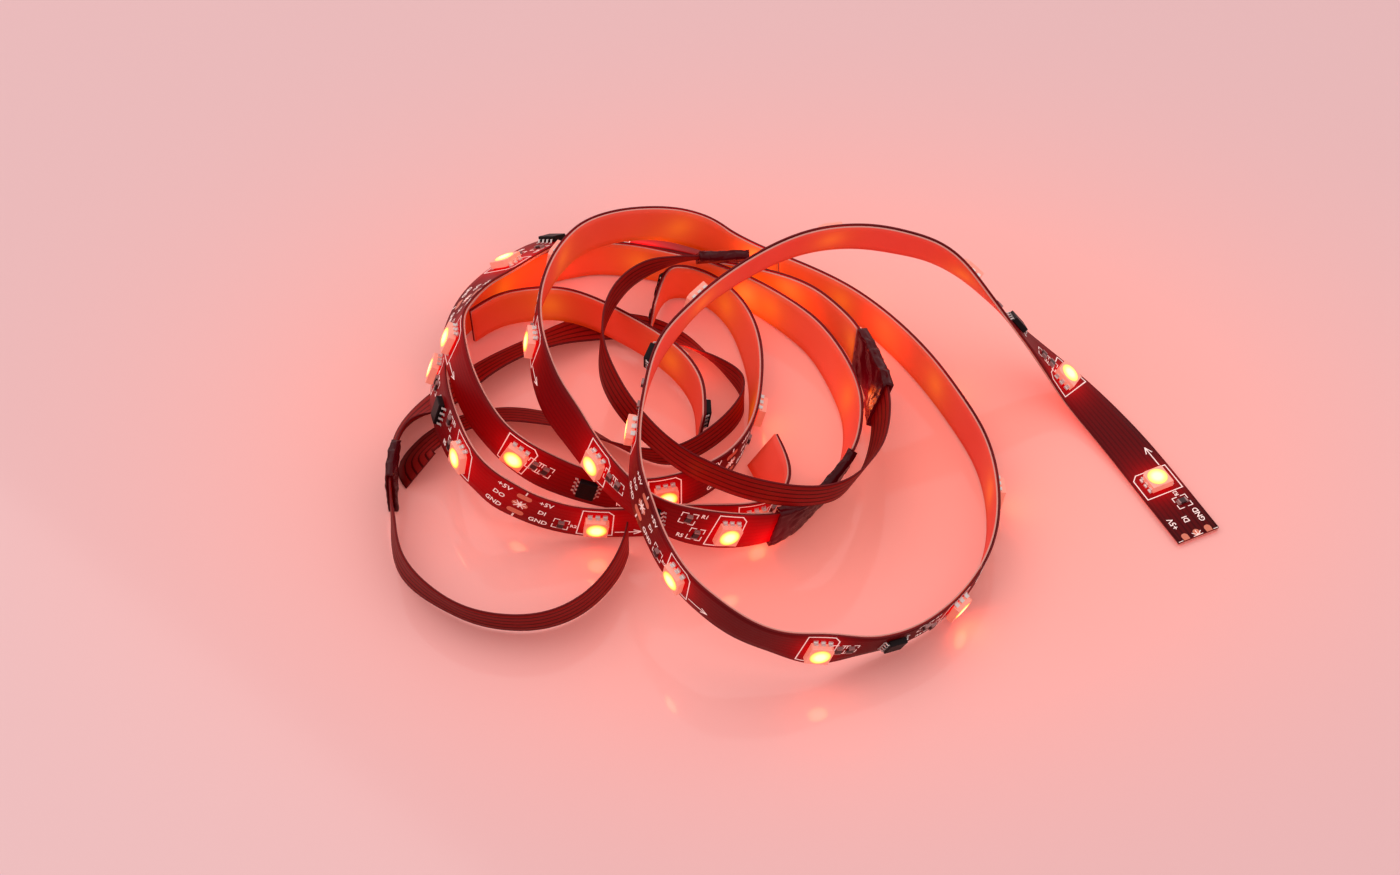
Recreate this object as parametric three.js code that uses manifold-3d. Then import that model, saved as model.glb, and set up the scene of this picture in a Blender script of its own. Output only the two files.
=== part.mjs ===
// A length of flexible LED light strip, switched on and let fall as a loose tangle on a table.
// Four routes carry the strip lengths and the plain flat leads that join them. Every piece is a
// cut length of one route, so boards, liners, sleeves and LEDs follow the same curve.
// Millimetres, +Z up, the tangle rests on z = 0.

import * as THREE from 'three';
import { mergeVertices } from 'three/addons/utils/BufferGeometryUtils.js';
import Module from 'manifold-3d';

const wasm = await Module();
wasm.setup();

// Strip
const STRIP_WIDTH = 10;
const BOARD_THICKNESS = 0.35;
const UNIT_LENGTH = 100;
const LEDS_PER_UNIT = 3;
const LED_PITCH = UNIT_LENGTH / LEDS_PER_UNIT;
const FACETS_PER_PITCH = 6;
const FACET_LENGTH = LED_PITCH / FACETS_PER_PITCH;
const MAX_TWIST = 3.4;
const MAX_BEND = 20;
const SHORTEST_FACET = 1;

// Release liner on the adhesive back
const LINER_WIDTH = 9.6;
const LINER_THICKNESS = 0.2;
const SEAT_GAP = 0.3;

// LED package
const LED_SIDE = 5;
const LED_HEIGHT = 1.6;
const LED_CHAMFER = 0.8;
const LENS_RADIUS = 2;
const LENS_DEPTH = 0.3;
const LENS_SIDES = 10;

// Driver chip and resistors, soldered to the board
const CHIP_LENGTH = 3.9;
const CHIP_WIDTH = 4.9;
const CHIP_HEIGHT = 1.5;
const RESISTOR_LENGTH = 1.25;
const RESISTOR_WIDTH = 2;
const RESISTOR_HEIGHT = 0.55;
const SOLDER_SINK = 0.2;
const PAD_CLEARANCE = 7.1;
const LED_CLEARANCE = 4.3;
const CAPACITOR_PITCH = 2.6;
const CHIP_CLEARANCE = 6.9;
const LAST_LED_CLEARANCE = 6.4;
const RESISTOR_OFFSET = 2;

// Heat-shrink sleeve over a joint, and its reach on either side
const SLEEVE_WALL = 0.5;
const SLEEVE_CLEARANCE = 0.35;
const SLEEVE_STEP = FACET_LENGTH / 2;
const JOINT_GAP = 0.3;
const LINER_MARGIN = 1;
const FRONT_SLEEVE = { before: 6, after: 18 };
const RIGHT_SLEEVE = { before: 12, after: 8 };
const LEFT_SLEEVE = { before: 5, after: 5 };
const BACK_SLEEVE = { before: 2, after: 9 };

// Places in one cut unit, measured from its pads
const LED_PLACES = [1, 3, 5].map((sixth) => (sixth * UNIT_LENGTH) / 6);
const CHIP_PLACE = (4 * UNIT_LENGTH) / 6;
const RESISTORS = [
  { place: LED_PLACES[0] - PAD_CLEARANCE, across: -RESISTOR_OFFSET },
  { place: LED_PLACES[1] + LED_CLEARANCE, across: 0 },
  { place: LED_PLACES[1] + LED_CLEARANCE + CAPACITOR_PITCH, across: 0 },
  { place: CHIP_PLACE + CHIP_CLEARANCE, across: RESISTOR_OFFSET },
  { place: LED_PLACES[2] - LAST_LED_CLEARANCE, across: -RESISTOR_OFFSET },
];

// Where each length starts, ends and has a pair of pads, by distance along its route
const OUTER_START = 6;
const OUTER_UNITS = 4;
const FAR_JOINT = OUTER_START + OUTER_UNITS * UNIT_LENGTH;
const FRONT_JOINT = 582.7;
const FAR_PADS = FRONT_JOINT;
const MIDDLE_PADS = 805.8;
const BRIDGE_START = 2;
const RIGHT_JOINT = 172;
const INNER_PADS = 399.5;
const LOOP_PADS = -62;
const LEFT_JOINT = 206;

// Routes: x, y, height of the strip's middle, lean of its upper edge to the left of travel in degrees.
const OUTER_ROUTE = [
  [107.5, -23, 0.675, 90], [104, -16, 0.675, 90], [100.5, -9, 0.675, 90], [96, 0, 0.7, 90],
  [90.5, 10.5, 1, 86], [81.5, 24.5, 1.9, 75], [68.5, 29.5, 15.5, 54], [61.5, 32, 23.5, 42],
  [56, 34, 29, 31], [50, 35, 33.5, 24], [42.5, 34.5, 36.5, 21], [34, 33, 40, 20], [23, 29.5, 42, 20],
  [13.5, 23.5, 42.5, 20], [5, 17, 41.5, 20], [0, 12.5, 40.5, 20], [-4, 7.5, 39.5, 15],
  [-8, 2.5, 38, 10], [-10.5, -3, 36, 8], [-12, -9.5, 33.5, 8], [-13.5, -17.5, 30, 10],
  [-13.5, -26, 27, 12], [-11, -32.5, 24, 10], [-8, -40, 21.5, 4], [-3.5, -46.5, 19, -2],
  [1, -51, 18, -6], [8, -54.5, 14, -12], [16, -56, 11.5, -20], [24, -55.5, 9, 2], [32, -53, 6.5, -24],
  [38.5, -50.5, 5.4, -26], [44.5, -47.5, 5, -25], [52, -41, 5, -20], [59, -30.5, 5, -13],
  [62, -18.5, 5, -9], [62, -6, 5, -8], [60, 4.5, 5, -8], [55.5, 15, 5, -8], [50, 26.5, 5, -8],
  [42.5, 38, 5, -5], [33.5, 48.5, 5, 0], [22.5, 56, 5, 3], [12.5, 61.5, 5, 3], [4.5, 67, 6, 3],
  [-2.5, 66, 10.8, 3], [-8, 64.5, 13.6, 3], [-13.5, 63, 15, 3], [-20, 60.5, 16.3, 3],
  [-27, 56.5, 16.8, 4], [-32, 46.5, 18.5, 6], [-34.5, 35.5, 21, 8], [-35.5, 25, 23.5, 10],
  [-35, 15, 24.5, 15], [-33.5, 8, 24, 20], [-31, 1, 22.5, 22], [-26.5, -5, 20.5, 18],
  [-23, -11, 19, 12], [-18, -17, 17, 5], [-12.5, -22.5, 15.8, 0], [-6.5, -26.5, 15.6, 0],
  [0, -26, 12.5, 0], [7, -24, 9, 0], [16, -21, 6.6, -10], [22, -16.5, 6.6, -20], [27.5, -8.5, 6.6, -20],
  [31.5, -1.5, 6, -20], [33, 6.5, 5, -20], [33.5, 14.5, 5, -20], [31.5, 23, 5, -20], [28, 32, 5, -15],
  [24, 39, 5, -10], [16.5, 46.5, 5, -5], [9, 52.5, 5, 0], [0, 57, 5, 0], [-8, 59.5, 5, 0],
  [-14.5, 61.5, 5, 0], [-22.5, 62.5, 5, 0], [-28, 61.5, 5, 0], [-34, 59.5, 5, 0], [-39.5, 56.5, 5, 0],
  [-45, 52.5, 5, 0], [-49.5, 46.5, 5, 5], [-53, 40, 5.1, 12], [-56, 33, 6.2, 18], [-57, 23.5, 8.4, 22],
  [-56, 11.5, 12, 22], [-53.5, 1.5, 14, 20], [-50.5, -7, 15.5, 15], [-47, -13, 15.5, 5],
  [-43, -16, 13.5, 0], [-39, -17, 11, -4], [-34.5, -18, 9, -6], [-29, -18.5, 7, -8],
  [-23, -18.5, 5.6, -8], [-16.5, -18, 5, -8], [-10.5, -17.5, 5, -6], [-4, -17, 5, -5], [3, -17, 5, -6],
  [10.5, -16.5, 5, -10], [16, -13.5, 5, -20], [17, -8, 5, -30], [15.5, -2, 4.6, -38],
  [13.5, 3.5, 4.2, -42],
];
const INNER_ROUTE = [
  [10.5, 52, 15.3, 43], [5, 51.5, 15.3, 43], [-0.5, 51.5, 15.3, 43], [-5, 50.5, 15.5, 38],
  [-10, 48, 15.8, 28], [-14.5, 43.5, 17.4, 18], [-18.5, 37, 18.2, 8], [-21, 29.5, 18.4, 4],
  [-21.5, 21.5, 17.8, 5], [-20.5, 15.5, 16.8, 8], [-18, 9.5, 16, 6], [-14.5, 3, 16, 0],
  [-10.5, -2.5, 16, -5], [-6.5, -7.5, 16, -8], [-1.5, -12, 16, -10], [3, -14.5, 16, -12],
  [8.5, -18.5, 17, -14], [16.5, -22, 18.2, -16], [24.5, -22.5, 18.2, -20], [30, -19.5, 17.4, -22],
  [33.5, -13, 15, -25], [36.5, -6, 13, -25], [38, 1.5, 11, -24], [39, 11, 9, -20], [38, 19.5, 7.5, -15],
  [36, 27.5, 6.6, -10], [34, 35.5, 5.6, -5], [30.5, 42, 5, 0], [26.5, 47.5, 5, 5], [21.5, 51.5, 5, 10],
  [14.5, 55.5, 5, 20], [9, 58.5, 4.6, 32], [3.5, 62, 4, 45], [-2.5, 66, 3.5, 55], [-9, 69, 3.3, 60],
  [-18, 70.5, 3.3, 60], [-25, 70.5, 3.6, 60], [-31.5, 66.5, 6.4, 60], [-37, 60.5, 10, 60],
  [-43, 51, 13, 58], [-48.5, 44, 14.4, 50], [-51.5, 35.5, 16.6, 40], [-53.5, 27.5, 18.2, 30],
  [-52.5, 18.5, 20.4, 24], [-50.5, 10, 20, 20], [-48, 4.5, 17.6, 18], [-44.5, -1, 16.5, 12],
  [-41, -5, 15, 6], [-35.5, -7.5, 12, 2], [-29.5, -8, 8, 0], [-21, -9, 5, 0], [-12.5, -10.5, 5, 0],
  [-6.5, -9.5, 5, 0], [-0.5, -7, 5, 0], [5, -3, 5, -8], [9, 3, 5, -12], [11.5, 10, 5, -12],
  [12.5, 19, 5, -12], [12.5, 28, 5, -15], [11, 36.5, 5, -18], [8.5, 44, 5, -12], [4, 50.5, 5, -5],
  [-1, 54, 5, 0], [-5.5, 55, 5, 2], [-8.5, 52, 6, 6], [-10, 45, 7.4, 8], [-11, 39.5, 7.8, 8],
];
const LOOP_ROUTE = [
  [0.5, 8.5, 5.4, -8], [0.5, 13.5, 5.6, -9], [0, 19, 6, -8], [-3, 25, 6.6, -6], [-7, 29.5, 7.2, -3],
  [-13, 34.5, 7.8, 0], [-22, 41.5, 7.4, 0], [-29, 45.5, 6.8, 0], [-34.5, 46.5, 6.2, 0], [-40, 46, 6, 0],
  [-45.5, 44.5, 5.8, 0], [-50.5, 40, 5.4, 0],
];
const LOWER_ROUTE = [
  [-59.5, -1.5, 3.2, -50], [-61.5, 1.5, 3.2, -50], [-59, 5.5, 3.2, -56], [-55, 10.5, 3.2, -60],
  [-47.5, 14.5, 3.2, -60], [-41, 15.5, 3.2, -60], [-33.5, 14, 3.2, -58], [-27, 11.5, 3.4, -50],
  [-20.5, 6.5, 4, -40], [-13, 2, 4.6, -30], [-7, 0.5, 5, -22], [-1.5, 3, 5, -15], [4.5, 8.5, 5, -10],
  [9, 15, 5, -5], [10, 20.5, 5, 0], [7, 25.5, 4.8, 15], [2, 31, 4.2, 30], [-4.5, 38, 2.8, 58],
  [-11, 43, 1.3, 78], [-19, 44.5, 1.2, 80], [-26.5, 43, 1.4, 80], [-34.5, 38, 2.8, 60],
  [-43, 33, 3, 58], [-50.5, 26.5, 2.9, 60], [-56.5, 19.5, 2.5, 70], [-61.5, 14, 3.4, 50],
  [-64.5, 8, 5, 24], [-65, 0.5, 6, 8], [-65, -7, 6.3, 0], [-65, -14, 6.3, 0], [-64, -20, 5.4, 8],
  [-63, -27, 5, 4], [-59.5, -33.5, 5, -8], [-53, -39.5, 5, -18], [-46, -44, 5, -22],
  [-36.5, -45.5, 5, -22], [-29.5, -44, 5, -20], [-23.5, -40, 5, -14], [-19, -34, 5, -8],
  [-16, -27.5, 5, -2], [-15, -22, 5, 0],
];

const FINISHES = {
  board: new THREE.MeshStandardMaterial({ color: 0x3a0b0c, roughness: 0.45, metalness: 0 }),
  lead: new THREE.MeshStandardMaterial({ color: 0x4a0a0c, roughness: 0.5, metalness: 0 }),
  liner: new THREE.MeshStandardMaterial({ color: 0xe8583c, roughness: 0.7, metalness: 0 }),
  sleeve: new THREE.MeshStandardMaterial({ color: 0x160a0b, roughness: 0.6, metalness: 0 }),
  led: new THREE.MeshStandardMaterial({ color: 0xffd890, roughness: 0.3, metalness: 0 }),
};

const UP = new THREE.Vector3(0, 0, 1);

// Uniform cubic B-spline: it follows the route's points and evens out the springy strip.
class RouteCurve extends THREE.Curve {
  constructor(route) {
    super();
    this.route = route;
    this.arcLengthDivisions = 20 * route.length;
  }

  blend(t, column) {
    const last = this.route.length - 1;
    const span = Math.min(Math.floor(t * last), last - 1);
    const f = t * last - span;
    const at = (i) => {
      if (i < 0) return 2 * this.route[0][column] - this.route[1][column];
      if (i > last) return 2 * this.route[last][column] - this.route[last - 1][column];
      return this.route[i][column];
    };
    const weights = [(1 - f) ** 3, 3 * f ** 3 - 6 * f * f + 4, -3 * f ** 3 + 3 * f * f + 3 * f + 1, f ** 3];
    return weights.reduce((sum, weight, i) => sum + (weight * at(span - 1 + i)) / 6, 0);
  }

  getPoint(t, target = new THREE.Vector3()) {
    return target.set(this.blend(t, 0), this.blend(t, 1), this.blend(t, 2));
  }

  // The strip's cross axes at a distance along the route.
  frameAt(distance) {
    const t = this.getUtoTmapping(0, distance);
    const along = this.getTangent(t);
    const upright = UP.clone().addScaledVector(along, -UP.dot(along)).normalize();
    const left = new THREE.Vector3().crossVectors(upright, along);
    const lean = THREE.MathUtils.degToRad(this.blend(t, 3));
    const across = upright.multiplyScalar(Math.cos(lean)).addScaledVector(left, Math.sin(lean));
    const front = new THREE.Vector3().crossVectors(along, across);
    return { point: this.getPoint(t), along, across, front };
  }
}

// The stations of one cut length, in the form that an extrusion along a path reads.
class CutLength extends THREE.Curve {
  constructor(curve, distances) {
    super();
    this.distances = distances;
    this.frames = distances.map((distance) => curve.frameAt(distance));
  }

  getSpacedPoints() {
    return this.frames.map((frame) => frame.point);
  }

  computeFrenetFrames() {
    return {
      tangents: this.frames.map((frame) => frame.along),
      normals: this.frames.map((frame) => frame.front),
      binormals: this.frames.map((frame) => frame.across.clone().negate()),
    };
  }

  // A flat seat on the front of the facet that holds a distance, as a placed frame.
  seatAt(distance, across, lift) {
    const k = this.distances.findIndex((end, i) => i > 0 && distance <= end) - 1;
    const [from, to] = [this.frames[k], this.frames[k + 1]];
    const along = to.point.clone().sub(from.point).normalize();
    const side = from.across.clone().add(to.across);
    side.addScaledVector(along, -side.dot(along)).normalize();
    const front = new THREE.Vector3().crossVectors(along, side);
    const middle = (this.distances[k] + this.distances[k + 1]) / 2;
    const place = from.point.clone().add(to.point).multiplyScalar(0.5);
    place.addScaledVector(along, distance - middle).addScaledVector(side, across);
    place.addScaledVector(front, BOARD_THICKNESS / 2 + lift);
    return new THREE.Matrix4().makeBasis(along, side, front).setPosition(place);
  }
}

const curves = {
  outer: new RouteCurve(OUTER_ROUTE),
  inner: new RouteCurve(INNER_ROUTE),
  loop: new RouteCurve(LOOP_ROUTE),
  lower: new RouteCurve(LOWER_ROUTE),
};

// How many short facets one station step needs: an odd number, so that a component keeps its seat.
function facetSplit(curve, from, to) {
  const [a, b] = [curve.frameAt(from), curve.frameAt(to)];
  const twist = THREE.MathUtils.radToDeg(Math.abs(Math.asin(b.across.dot(a.front))));
  const bend = THREE.MathUtils.radToDeg(a.along.angleTo(b.along));
  if (twist > 3 * MAX_TWIST || bend > 3 * MAX_BEND) return 5;
  return twist > MAX_TWIST || bend > MAX_BEND ? 3 : 1;
}

// Stations fall between the LED places, so each LED sits in the middle of a facet.
function stations(curve, start, end, pads = start) {
  const coarse = [start];
  const first = Math.ceil((start + SHORTEST_FACET - pads) / FACET_LENGTH - 0.5);
  for (let k = first; pads + (k + 0.5) * FACET_LENGTH < end - SHORTEST_FACET; k += 1) {
    coarse.push(pads + (k + 0.5) * FACET_LENGTH);
  }
  coarse.push(end);
  const list = [start];
  for (let i = 1; i < coarse.length; i += 1) {
    const [from, to] = [coarse[i - 1], coarse[i]];
    const split = facetSplit(curve, from, to);
    for (let j = 1; j <= split; j += 1) list.push(from + (j * (to - from)) / split);
  }
  return list;
}

function flatSection(width, back, front) {
  const corners = [[back, -width / 2], [front, -width / 2], [front, width / 2], [back, width / 2]];
  return new THREE.Shape(corners.map(([x, y]) => new THREE.Vector2(x, y)));
}

function sweep(section, path) {
  return new THREE.ExtrudeGeometry(section, { steps: path.distances.length - 1, extrudePath: path });
}

function toSolid(geometry) {
  const bare = geometry.clone();
  bare.deleteAttribute('normal');
  bare.deleteAttribute('uv');
  const merged = mergeVertices(bare, 1e-4);
  return new wasm.Manifold(new wasm.Mesh({
    numProp: 3,
    vertProperties: merged.attributes.position.array,
    triVerts: new Uint32Array(merged.index.array),
  }));
}

function toGeometry(solid) {
  const mesh = solid.getMesh();
  const geometry = new THREE.BufferGeometry();
  geometry.setAttribute('position', new THREE.BufferAttribute(mesh.vertProperties, 3));
  geometry.setIndex(new THREE.BufferAttribute(mesh.triVerts, 1));
  geometry.computeVertexNormals();
  return geometry;
}

// A block with its underside sunk into the board it is soldered to.
function soldered(length, width, height, seat) {
  const block = new THREE.BoxGeometry(length, width, height + SOLDER_SINK);
  block.translate(0, 0, (height - SOLDER_SINK) / 2);
  return block.applyMatrix4(seat);
}

function ledGeometry() {
  const half = LED_SIDE / 2;
  const outline = new THREE.Shape();
  outline.moveTo(-half, -half);
  outline.lineTo(half, -half);
  outline.lineTo(half, half - LED_CHAMFER);
  outline.lineTo(half - LED_CHAMFER, half);
  outline.lineTo(-half, half);
  outline.closePath();
  const body = new THREE.ExtrudeGeometry(outline, { depth: LED_HEIGHT, bevelEnabled: false });
  const lens = new THREE.CylinderGeometry(LENS_RADIUS, LENS_RADIUS, 2 * LENS_DEPTH, LENS_SIDES);
  lens.rotateX(Math.PI / 2);
  lens.translate(0, 0, LED_HEIGHT);
  return toGeometry(toSolid(body).subtract(toSolid(lens)));
}

const strip = new THREE.Group();
const packageGeometry = ledGeometry();

function addMesh(name, geometry, finish) {
  const mesh = new THREE.Mesh(geometry, finish);
  mesh.name = name;
  strip.add(mesh);
  return mesh;
}

// The places of one kind of component along a strip, in every unit that holds all of its length.
function placesAlong(start, end, pads, place, length) {
  const firstUnit = Math.ceil((start + length / 2 - pads - place) / UNIT_LENGTH);
  const list = [];
  for (let unit = firstUnit; pads + unit * UNIT_LENGTH + place + length / 2 <= end; unit += 1) {
    list.push(pads + unit * UNIT_LENGTH + place);
  }
  return list;
}

let ledCount = 0;

// One length of strip. A sleeve over an end keeps the liner and the components off it.
function addStrip(name, curve, start, end, pads, sleevedStart = 0, sleevedEnd = 0) {
  const path = new CutLength(curve, stations(curve, start, end, pads));
  const clearStart = start + sleevedStart;
  const clearEnd = end - sleevedEnd;
  let board = toSolid(sweep(flatSection(STRIP_WIDTH, -BOARD_THICKNESS / 2, BOARD_THICKNESS / 2), path));
  for (const place of placesAlong(clearStart, clearEnd, pads, CHIP_PLACE, CHIP_LENGTH)) {
    board = board.add(toSolid(soldered(CHIP_LENGTH, CHIP_WIDTH, CHIP_HEIGHT, path.seatAt(place, 0, 0))));
  }
  for (const { place, across } of RESISTORS) {
    for (const spot of placesAlong(clearStart, clearEnd, pads, place, RESISTOR_LENGTH)) {
      const seat = path.seatAt(spot, across, 0);
      board = board.add(toSolid(soldered(RESISTOR_LENGTH, RESISTOR_WIDTH, RESISTOR_HEIGHT, seat)));
    }
  }
  addMesh(`${name}_board`, toGeometry(board), FINISHES.board);

  const linerStart = sleevedStart ? clearStart + LINER_MARGIN : start;
  const linerEnd = sleevedEnd ? clearEnd - LINER_MARGIN : end;
  const linerPath = new CutLength(curve, stations(curve, linerStart, linerEnd, pads));
  const linerFront = -BOARD_THICKNESS / 2 - SEAT_GAP;
  const linerSection = flatSection(LINER_WIDTH, linerFront - LINER_THICKNESS, linerFront);
  addMesh(`${name}_liner`, sweep(linerSection, linerPath), FINISHES.liner);

  const ledPlaces = LED_PLACES.flatMap((place) => placesAlong(clearStart, clearEnd, pads, place, LED_SIDE));
  for (const place of ledPlaces.sort((a, b) => a - b)) {
    ledCount += 1;
    const led = addMesh(`led_${String(ledCount).padStart(2, '0')}`, packageGeometry, FINISHES.led);
    led.applyMatrix4(path.seatAt(place, 0, SEAT_GAP));
  }
}

function addLead(name, curve, start, end) {
  const path = new CutLength(curve, stations(curve, start, end));
  const section = flatSection(STRIP_WIDTH, -BOARD_THICKNESS / 2, BOARD_THICKNESS / 2);
  addMesh(name, sweep(section, path), FINISHES.lead);
}

function addSleeve(name, curve, joint, reach) {
  const length = reach.before + reach.after;
  const steps = Math.round(length / SLEEVE_STEP);
  const distances = Array.from({ length: steps + 1 }, (_, i) => joint - reach.before + (i * length) / steps);
  const width = STRIP_WIDTH + 2 * SLEEVE_CLEARANCE;
  const half = BOARD_THICKNESS / 2 + SLEEVE_CLEARANCE;
  const section = flatSection(width + 2 * SLEEVE_WALL, -half - SLEEVE_WALL, half + SLEEVE_WALL);
  section.holes.push(flatSection(width, -half, half));
  addMesh(name, sweep(section, new CutLength(curve, distances)), FINISHES.sleeve);
}

const outerEnd = curves.outer.getLength();
const innerEnd = curves.inner.getLength();
const loopEnd = curves.loop.getLength();
const lowerEnd = curves.lower.getLength();

addStrip('outer_strip', curves.outer, OUTER_START, FAR_JOINT, OUTER_START);
addStrip('far_strip', curves.outer, FAR_JOINT + JOINT_GAP, FRONT_JOINT, FAR_PADS, 0, FRONT_SLEEVE.before);
addSleeve('front_sleeve', curves.outer, FRONT_JOINT, FRONT_SLEEVE);
addStrip('middle_strip', curves.outer, FRONT_JOINT + JOINT_GAP, outerEnd, MIDDLE_PADS, FRONT_SLEEVE.after);
addSleeve('back_sleeve', curves.inner, BRIDGE_START, BACK_SLEEVE);
addLead('bridge_lead', curves.inner, BRIDGE_START, RIGHT_JOINT);
addSleeve('right_sleeve', curves.inner, RIGHT_JOINT, RIGHT_SLEEVE);
addStrip('inner_strip', curves.inner, RIGHT_JOINT + JOINT_GAP, innerEnd, INNER_PADS, RIGHT_SLEEVE.after);
addStrip('loop_strip', curves.loop, 0, loopEnd, LOOP_PADS);
addLead('return_lead', curves.lower, 0, LEFT_JOINT);
addSleeve('left_sleeve', curves.lower, LEFT_JOINT, LEFT_SLEEVE);
addLead('floor_lead', curves.lower, LEFT_JOINT + JOINT_GAP, lowerEnd);

// The origin lies under the middle of the whole tangle.
const box = new THREE.Box3().setFromObject(strip, true);
strip.position.set(-(box.min.x + box.max.x) / 2, -(box.min.y + box.max.y) / 2, -box.min.z);

export default strip;
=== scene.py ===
import bisect
import math
from collections import namedtuple

import bmesh
import bpy
from mathutils import Matrix, Vector, noise


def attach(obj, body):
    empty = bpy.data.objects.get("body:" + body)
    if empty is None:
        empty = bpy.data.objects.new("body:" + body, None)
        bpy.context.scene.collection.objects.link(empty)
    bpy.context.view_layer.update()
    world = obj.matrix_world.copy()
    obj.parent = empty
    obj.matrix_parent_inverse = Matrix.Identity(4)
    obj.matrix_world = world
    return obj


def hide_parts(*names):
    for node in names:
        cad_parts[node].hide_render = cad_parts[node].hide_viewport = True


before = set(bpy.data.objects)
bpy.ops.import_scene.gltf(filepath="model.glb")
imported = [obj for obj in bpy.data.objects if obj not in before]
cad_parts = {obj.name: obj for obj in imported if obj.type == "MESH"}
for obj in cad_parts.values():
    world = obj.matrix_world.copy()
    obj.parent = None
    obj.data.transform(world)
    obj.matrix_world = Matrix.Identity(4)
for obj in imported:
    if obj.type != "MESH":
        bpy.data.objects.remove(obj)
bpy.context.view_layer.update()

# Sizes in millimetres, as in the frame
MM = 0.001
STRIP_WIDTH = 10.0
BOARD_THICKNESS = 0.35
LINER_WIDTH = 9.6
LINER_THICKNESS = 0.2
SEAT_GAP = 0.3
UNIT = 100.0
LED_PITCH = UNIT / 3
FACET = LED_PITCH / 6
FINE_STEP = FACET / 5

LED_SIDE = 5.0
LED_HEIGHT = 1.6
LED_CHAMFER = 0.8
LED_ROUND = 0.12
LENS_RADIUS = 2.2
LENS_BASE = 0.02
# Each ring of the lens's dome: how far in from the last one, and how far up
LENS_RINGS = ((0.25, 0.03), (0.45, 0.04), (0.55, 0.03), (0.5, 0.01))
PIN_PITCH = 1.6
PIN_WIDTH = 0.9
PIN_REACH = 0.28
PIN_HEIGHT = 0.7
PIN_SOLDER_WIDTH = 1.0
PIN_SOLDER_REACH = 0.25
CHIP_LENGTH = 3.9
CHIP_WIDTH = 4.9
CHIP_HEIGHT = 1.5
CHIP_STANDOFF = 0.15
CHIP_ROUND = 0.18
DIMPLE_RADIUS = 0.3
DIMPLE_INSET = 0.8
LEG_PITCH = 1.27
LEG_WIDTH = 0.42
LEG_THICKNESS = 0.14
RESISTOR_LENGTH = 1.25
RESISTOR_WIDTH = 2.0
RESISTOR_HEIGHT = 0.55
TERMINAL_WIDTH = 0.35
TERMINAL_PROUD = 0.02
FILLET_REACH = 0.3
FILLET_HEIGHT = 0.14
SLEEVE_WALL = 0.5
SLEEVE_CLEARANCE = 0.35
JOINT_GAP = 0.3

# Where the routes' zero lies in the frame, in millimetres
PLACE = Vector((-21.2752, -8.4841, 0.2305))

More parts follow.
